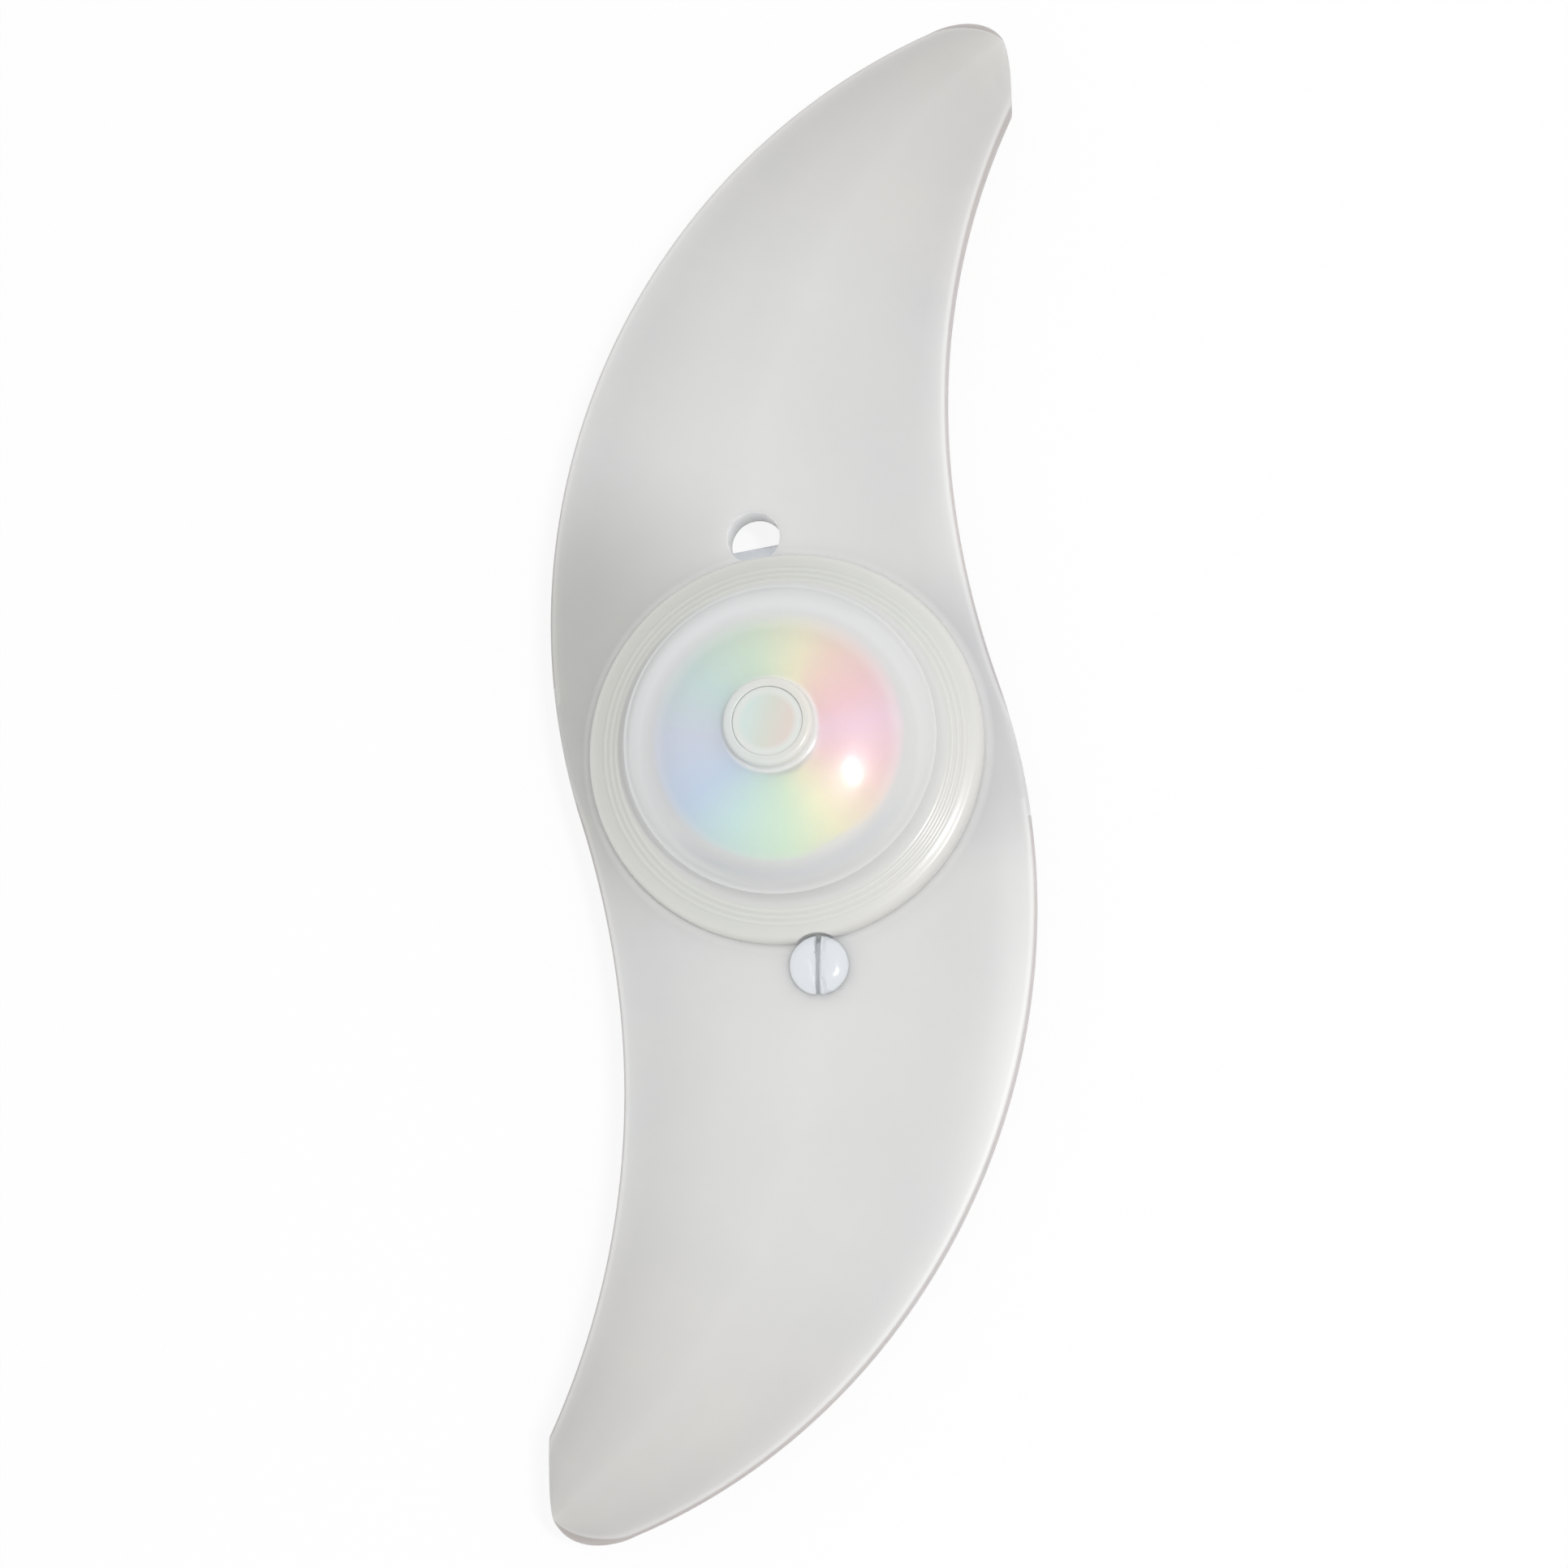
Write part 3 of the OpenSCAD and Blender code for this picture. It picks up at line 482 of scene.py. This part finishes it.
def blade_shape(along=160, lobe_part=0.8):
    """A grid whose columns wrap round the cross-section and whose rows run from tip to tip,
    closing up where they go round each tip."""
    columns = len(section(0)) - 1
    bm = bmesh.new()
    bmesh.ops.create_grid(bm, x_segments=columns, y_segments=along, size=1)
    rows = {}
    for vert in bm.verts:
        y = vert.co.y
        part = abs(y)
        if part < lobe_part:
            u = TIP_U * part / lobe_part
        else:
            u = TIP_U + (1 - TIP_U) * math.sin((part - lobe_part) / (1 - lobe_part) * math.pi / 2)
        u = math.copysign(u, y)
        key = round(y, 5)
        if key not in rows:
            rows[key] = section(u)
        x, z = rows[key][round((vert.co.x + 1) / 2 * columns)]
        h = TURN_FROM + (TURN_TO - TURN_FROM) * abs(u)
        side = math.copysign(ARC_R, u)
        lean = TIP_LEAN * tip_share(u)[1]
        cos, sin = math.cos(h), math.sin(h)
        vert.co = (side * (math.cos(TURN_FROM) - cos) + x * (cos - lean * sin),
                   side * (sin - math.sin(TURN_FROM)) - x * (sin + lean * cos),
                   BLADE_BACK + z)
    bmesh.ops.remove_doubles(bm, verts=bm.verts, dist=1e-4)
    bmesh.ops.dissolve_degenerate(bm, edges=bm.edges, dist=1e-4)
    bmesh.ops.recalc_face_normals(bm, faces=bm.faces)
    return bm


def lobe_place(x, y):
    """Where a point of the plan lies on the blade: share of the half-width, share of the
    way to the tip, and distance from the rim in millimetres."""
    sign = 1 if y >= 0 else -1
    x, y = x * sign, y * sign
    dx, dy = x - ARC_R * math.cos(TURN_FROM), y + ARC_R * math.sin(TURN_FROM)
    h = math.atan2(dy, -dx)
    offset = ARC_R - math.hypot(dx, dy)
    u = max(0, min(1, (h - TURN_FROM) / (TURN_TO - TURN_FROM)))
    w = max(0.3, half_width(u))
    return min(1, abs(offset) / w), u, max(0, w - abs(offset))


def build_blade():
    """The blade with the pod's opening, its stepped seat and key slot, both holes and the mark."""
    low, high = BLADE_BACK - 2, BLADE_FRONT + 2
    key = bmesh.new()
    bmesh.ops.create_cube(key, size=1)
    bmesh.ops.scale(key, vec=(KEY_W, KEY_REACH, KEY_H + 2), verts=key.verts)
    bmesh.ops.translate(key, vec=(0, KEY_REACH / 2, BLADE_BACK + KEY_H / 2 - 1), verts=key.verts)
    bmesh.ops.rotate(key, cent=(0, 0, 0), matrix=Matrix.Rotation(HOLE_BEARING, 3, "Z"),
                     verts=key.verts)
    cutters = [
        cylinder(0, 0, low, high, OPENING_R, 128),
        cylinder(0, 0, low, BLADE_BACK + SEAT_DEPTH, SEAT_R, 128),
        cylinder(PIN.x, PIN.y, low, high, HOLE_R, 64),
        cylinder(-PIN.x, -PIN.y, low, high, HOLE_R, 64),
        cylinder(EJECTOR.x, EJECTOR.y, low, BLADE_BACK + EJECTOR_DEPTH, EJECTOR_R, 64),
        key,
    ]
    blade = finished("blade_moulding", cut(blade_shape(), cutters), [frosted_blade_plastic()],
                     "light", "blade")
    lobe = blade.data.attributes.new("lobe", "FLOAT_VECTOR", "POINT")
    lobe.data.foreach_set("vector", [
        c for vert in blade.data.vertices for c in lobe_place(vert.co.x / MM, vert.co.y / MM)])
    return blade


# Silicone cap and button

DOME_R, DOME_RISE, FULLNESS, FOOT_FILLET = 11.75, 6.2, 2.4, 1.6
DOME_IN, RISE_IN = 10.9, DOME_RISE - 1.2
RIM_ROUND, RING_ROUND, BORE_ROUND = 0.8, 0.3, 0.07
RIDGES, RIDGE_INSET, RIDGE_PITCH, RIDGE_STEP, RIDGE_SWELL = 3, 1.0, 0.45, 0.05, 0.03
POCKET_H, POCKET_GAP, LIP_H, LIP_W = 0.8, 0.05, 0.35, 0.55
RIM_TOP = BLADE_FRONT + 1.2
FOOT = BLADE_FRONT + 1.9
BORE_R, RING_R, RING_FILLET = 2.6, 3.3, 0.45


def dome_height(x, r, rise):
    """Height of a dome of that radius and rise at x from its axis."""
    return FOOT + rise * (1 - (x / r) ** FULLNESS) ** (1 / FULLNESS)


def dome_points(r, rise, r_min, steps=40):
    """Points (radius, height) up a dome, closer where it bends more, down to r_min."""
    points = []
    for i in range(steps + 1):
        a = math.radians(90 * i / steps)
        x = r * math.cos(a) ** (2 / FULLNESS) if i < steps else 0
        if x > r_min:
            points.append((x, FOOT + rise * math.sin(a) ** (2 / FULLNESS)))
    return points


def corner(x, z, r, start, steps=5):
    """Points of a quarter circle round x, z, from the angle start."""
    return [(x + r * math.cos(math.radians(start + 90 * i / steps)),
             z + r * math.sin(math.radians(start + 90 * i / steps))) for i in range(steps + 1)]


def cap_profile():
    """The cap's closed section, with its ridges, its foot, the ring round the button and the
    pocket and lip that hold the shell's flange."""
    flange_end = CAP_R - RIM_ROUND
    slope = (FOOT - RIM_TOP) / (flange_end - DOME_R)
    ridges = []
    for i in reversed(range(RIDGES)):
        middle = DOME_R + RIDGE_INSET + i * RIDGE_PITCH
        for k in range(-4, 5):
            x = middle - k * RIDGE_STEP
            bulge = RIDGE_SWELL * (1 + math.cos(math.pi * k / 4))
            ridges.append((x, RIM_TOP + (flange_end - x) * slope + bulge))
    fillet = []
    for t in (0, 0.1, 0.2, 0.3, 0.4, 0.5, 0.6, 0.7, 0.8, 0.9, 1):
        low = (1 - t) ** 2 * FOOT_FILLET / 2
        fillet.append((DOME_R + low, FOOT - low * slope + t * t * FOOT_FILLET))
    dome = [p for p in dome_points(DOME_R, DOME_RISE, RING_R + 0.5)
            if p[1] > FOOT + FOOT_FILLET + 0.05]
    ring_low = dome_height(RING_R, DOME_R, DOME_RISE)
    ring_foot = [(RING_R + RING_FILLET * (1 - t) ** 2, ring_low + RING_FILLET * t * t)
                 for t in (0, 0.25, 0.5, 0.75, 1)]
    outer = ([(CAP_R, BLADE_FRONT)]
             + corner(flange_end, RIM_TOP - RIM_ROUND, RIM_ROUND, 0, 8)
             + ridges + fillet + dome + ring_foot
             + corner(RING_R - RING_ROUND, RING_TOP - RING_ROUND, RING_ROUND, 0)
             + corner(BORE_R + BORE_ROUND, RING_TOP - BORE_ROUND, BORE_ROUND, 90))
    under = dome_points(DOME_IN, RISE_IN, BORE_R + 0.2)[::-1]
    pocket, lip = FLANGE_R + POCKET_GAP, FLANGE_R - LIP_W
    inner = ([(BORE_R, dome_height(BORE_R, DOME_IN, RISE_IN))] + under
             + [(DOME_IN, BLADE_FRONT + POCKET_H), (pocket, BLADE_FRONT + POCKET_H),
                (pocket, BLADE_FRONT + LIP_H), (lip, BLADE_FRONT + LIP_H), (lip, BLADE_FRONT)])
    return outer + inner


def build_cap():
    """The cap with a notch for the pin's head. The inside of its dome is clear."""
    notch = cylinder(PIN.x, PIN.y, BLADE_FRONT - 1, BLADE_FRONT + 4, HEAD_NOTCH_R, 64)
    bm = cut(spun(cap_profile(), 160), [notch])
    for face in bm.faces:
        middle = face.calc_center_median()
        reach = math.hypot(middle.x, middle.y)
        inside = face.normal.dot(Vector((middle.x, middle.y, middle.z - FOOT))) < 0
        face.material_index = int(inside and BORE_R + 0.05 < reach < DOME_IN + 0.05)
    return finished("silicone_dome", bm, [silicone_skin(), clear_silicone()],
                    "light", "silicone_cap")


def build_button():
    """The button, with the stem and the collar that hold it under the dome."""
    stem, r, edge_round = 1.3, 2.585, 0.05
    collar_r, collar_t, collar_gap = 3.1, 0.7, 0.05
    collar_top = dome_height(collar_r, DOME_IN, RISE_IN) - collar_gap
    collar_low = collar_top - collar_t
    profile = ([(0, BUTTON_LOW), (stem, BUTTON_LOW), (stem, collar_low), (collar_r, collar_low),
                (collar_r, collar_top), (r, collar_top)]
               + corner(r - edge_round, BUTTON_TOP - edge_round, edge_round, 0)
               + [(0, BUTTON_TOP)])
    return finished("soft_button", spun(profile, 96), [button_silicone_painted_light()],
                    "button", "press_button")


def build_label():
    """The label with its window and its flat towards the lower right. A hair wider than the
    solid, as the lens of the dome shows it."""
    label_r, flat_r, flat_bearing = 9.15, 8.75, math.radians(-47)
    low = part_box("colour_label")[0].z / MM
    flat = bmesh.new()
    bmesh.ops.create_cube(flat, size=2)
    bmesh.ops.scale(flat, vec=(2, 8, 1), verts=flat.verts)
    bmesh.ops.translate(flat, vec=(flat_r + 2, 0, LABEL_TOP), verts=flat.verts)
    bmesh.ops.rotate(flat, cent=(0, 0, 0), matrix=Matrix.Rotation(flat_bearing, 3, "Z"),
                     verts=flat.verts)
    window = cylinder(0, 0, low - 1, LABEL_TOP + 1, WINDOW_R, 64)
    disc = cut(cylinder(0, 0, low, LABEL_TOP, label_r, 160), [flat, window])
    return finished("rainbow_disc", disc, [rainbow_label()], "light", "colour_label")


def smooth_copy(node, name, material, body, sharp=35):
    """A merged, smoothly shaded copy of a CAD node."""
    bm = bmesh.new()
    bm.from_mesh(nodes[node].data)
    bmesh.ops.remove_doubles(bm, verts=bm.verts, dist=1e-6)
    bmesh.ops.scale(bm, vec=(1 / MM,) * 3, verts=bm.verts)
    return finished(name, bm, [material], body, node, sharp)


build_blade()
build_cap()
build_button()
build_label()
smooth_copy("clasp", "clear_clasp", clear_plastic(), "clasp")

white_plastic = plain("white_abs", "#F2F2F0", 0.38)
FINISHES = {
    "pod_shell": white_plastic,
    "pod_base": plain("pale_abs", "#E3E4E2", 0.45),
    "base_seal": plain("nitrile_rubber", "#222426", 0.7),
    "cover_screws": plain("zinc_plated_steel", "#B9BBBF", 0.3, 1.0),
    "circuit_board": plain("solder_mask", "#1E5A3A", 0.35),
    "control_chip": plain("cured_epoxy_blob", "#111214", 0.25),
    "led_1": plain("diode_resin", "#F3EFC8", 0.2),
    "chip_capacitor": plain("tan_ceramic", "#A98A62", 0.5),
    "resistor_1": plain("black_ceramic", "#1D1E20", 0.4),
    "switch_body": plain("black_nylon", "#2A2C2F", 0.45),
    "switch_plunger": plain("cream_acetal", "#E6E1D2", 0.35),
    "coin_cell": plain("nickelled_steel", "#C4C6C9", 0.28, 1.0),
    "positive_contact": plain("phosphor_bronze", "#C8A66A", 0.3, 1.0),
}
for twin, first in (("led_2", "led_1"), ("led_3", "led_1"), ("resistor_2", "resistor_1"),
                    ("resistor_3", "resistor_1"), ("negative_contact", "positive_contact")):
    FINISHES[twin] = FINISHES[first]
for node, material in FINISHES.items():
    nodes[node].data.materials.clear()
    nodes[node].data.materials.append(material)


# Floor, light and camera


def shown_white(tree):
    """1 for the rays that see the background as white: camera, glossy and transmission."""
    path = add(tree, "ShaderNodeLightPath")
    first = add(tree, "ShaderNodeMath", {"operation": "MAXIMUM"},
                {0: path.outputs["Is Camera Ray"], 1: path.outputs["Is Glossy Ray"]})
    return add(tree, "ShaderNodeMath", {"operation": "MAXIMUM"},
               {0: first.outputs[0], 1: path.outputs["Is Transmission Ray"]}).outputs[0]


def build_floor():
    """A table that the eye sees as white and that lights the part like paper."""
    material, tree, out = new_material("white_table")
    paper = add(tree, "ShaderNodeBsdfDiffuse", {"Color": linear("#F6F6F6")})
    glow = add(tree, "ShaderNodeEmission", {"Color": (1, 1, 1, 1), "Strength": 1.0})
    share = add(tree, "ShaderNodeMath", {"operation": "MULTIPLY", 1: 0.88}, {0: shown_white(tree)})
    mixed = add(tree, "ShaderNodeMixShader",
                links={0: share.outputs[0], 1: paper.outputs[0], 2: glow.outputs[0]})
    tree.links.new(mixed.outputs[0], out.inputs["Surface"])
    bm = bmesh.new()
    bmesh.ops.create_grid(bm, x_segments=1, y_segments=1, size=3000 * MM)
    mesh = bpy.data.meshes.new("table_top")
    bm.to_mesh(mesh)
    bm.free()
    mesh.materials.append(material)
    floor = bpy.data.objects.new("table_top", mesh)
    bpy.context.scene.collection.objects.link(floor)


def build_world():
    """A room that the eye sees as white and that lights the part evenly."""
    world = bpy.data.worlds.new("white_room")
    bpy.context.scene.world = world
    world.use_nodes = True
    tree = world.node_tree
    tree.nodes.clear()
    lighting = add(tree, "ShaderNodeBackground", {"Color": (1, 1, 1, 1), "Strength": 0.66})
    seen = add(tree, "ShaderNodeBackground", {"Color": (1, 1, 1, 1), "Strength": 1.0})
    mixed = add(tree, "ShaderNodeMixShader",
                links={0: shown_white(tree), 1: lighting.outputs[0], 2: seen.outputs[0]})
    out = add(tree, "ShaderNodeOutputWorld")
    tree.links.new(mixed.outputs[0], out.inputs["Surface"])


def build_lamp(name, towards, distance, length, width, bearing, watts):
    """A lamp that looks back at the pod from a direction, its length along a bearing."""
    data = bpy.data.lights.new(name, "AREA")
    data.shape, data.energy = "RECTANGLE", watts
    data.size, data.size_y = length * MM, width * MM
    lamp = bpy.data.objects.new(name, data)
    bpy.context.scene.collection.objects.link(lamp)
    away = Vector(towards).normalized()
    turn = math.radians(bearing)
    along = Vector((math.cos(turn), math.sin(turn), 0))
    along = (along - away * along.dot(away)).normalized()
    axes = Matrix((along, away.cross(along), away)).transposed()
    lamp.matrix_world = Matrix.Translation(away * distance * MM) @ axes.to_4x4()


FOCAL_PX, FRAME_PX = 3801, 1932


def build_camera():
    """Stands where the photograph's outline and the pod's height put it."""
    data = bpy.data.cameras.new("camera")
    data.sensor_width = 36.0
    data.lens = data.sensor_width * FOCAL_PX / FRAME_PX
    data.clip_start = 10 * MM
    camera = bpy.data.objects.new("camera", data)
    bpy.context.scene.collection.objects.link(camera)
    right = Vector((0.96004, 0.23477, -0.15233)).normalized()
    up = Vector((-0.20086, 0.95705, 0.20909)).normalized()
    turn = Matrix((right, up, right.cross(up))).transposed()
    place = Vector((45.68, -42.152, 229.984)) * MM
    camera.matrix_world = Matrix.Translation(place) @ turn.to_4x4()
    bpy.context.scene.camera = camera


build_floor()
build_world()
build_lamp("window", towards=(0.396, -0.002, 0.918), distance=600, length=140, width=35,
           bearing=-30, watts=1.5)
build_camera()
bpy.context.scene.view_settings.view_transform = "Standard"
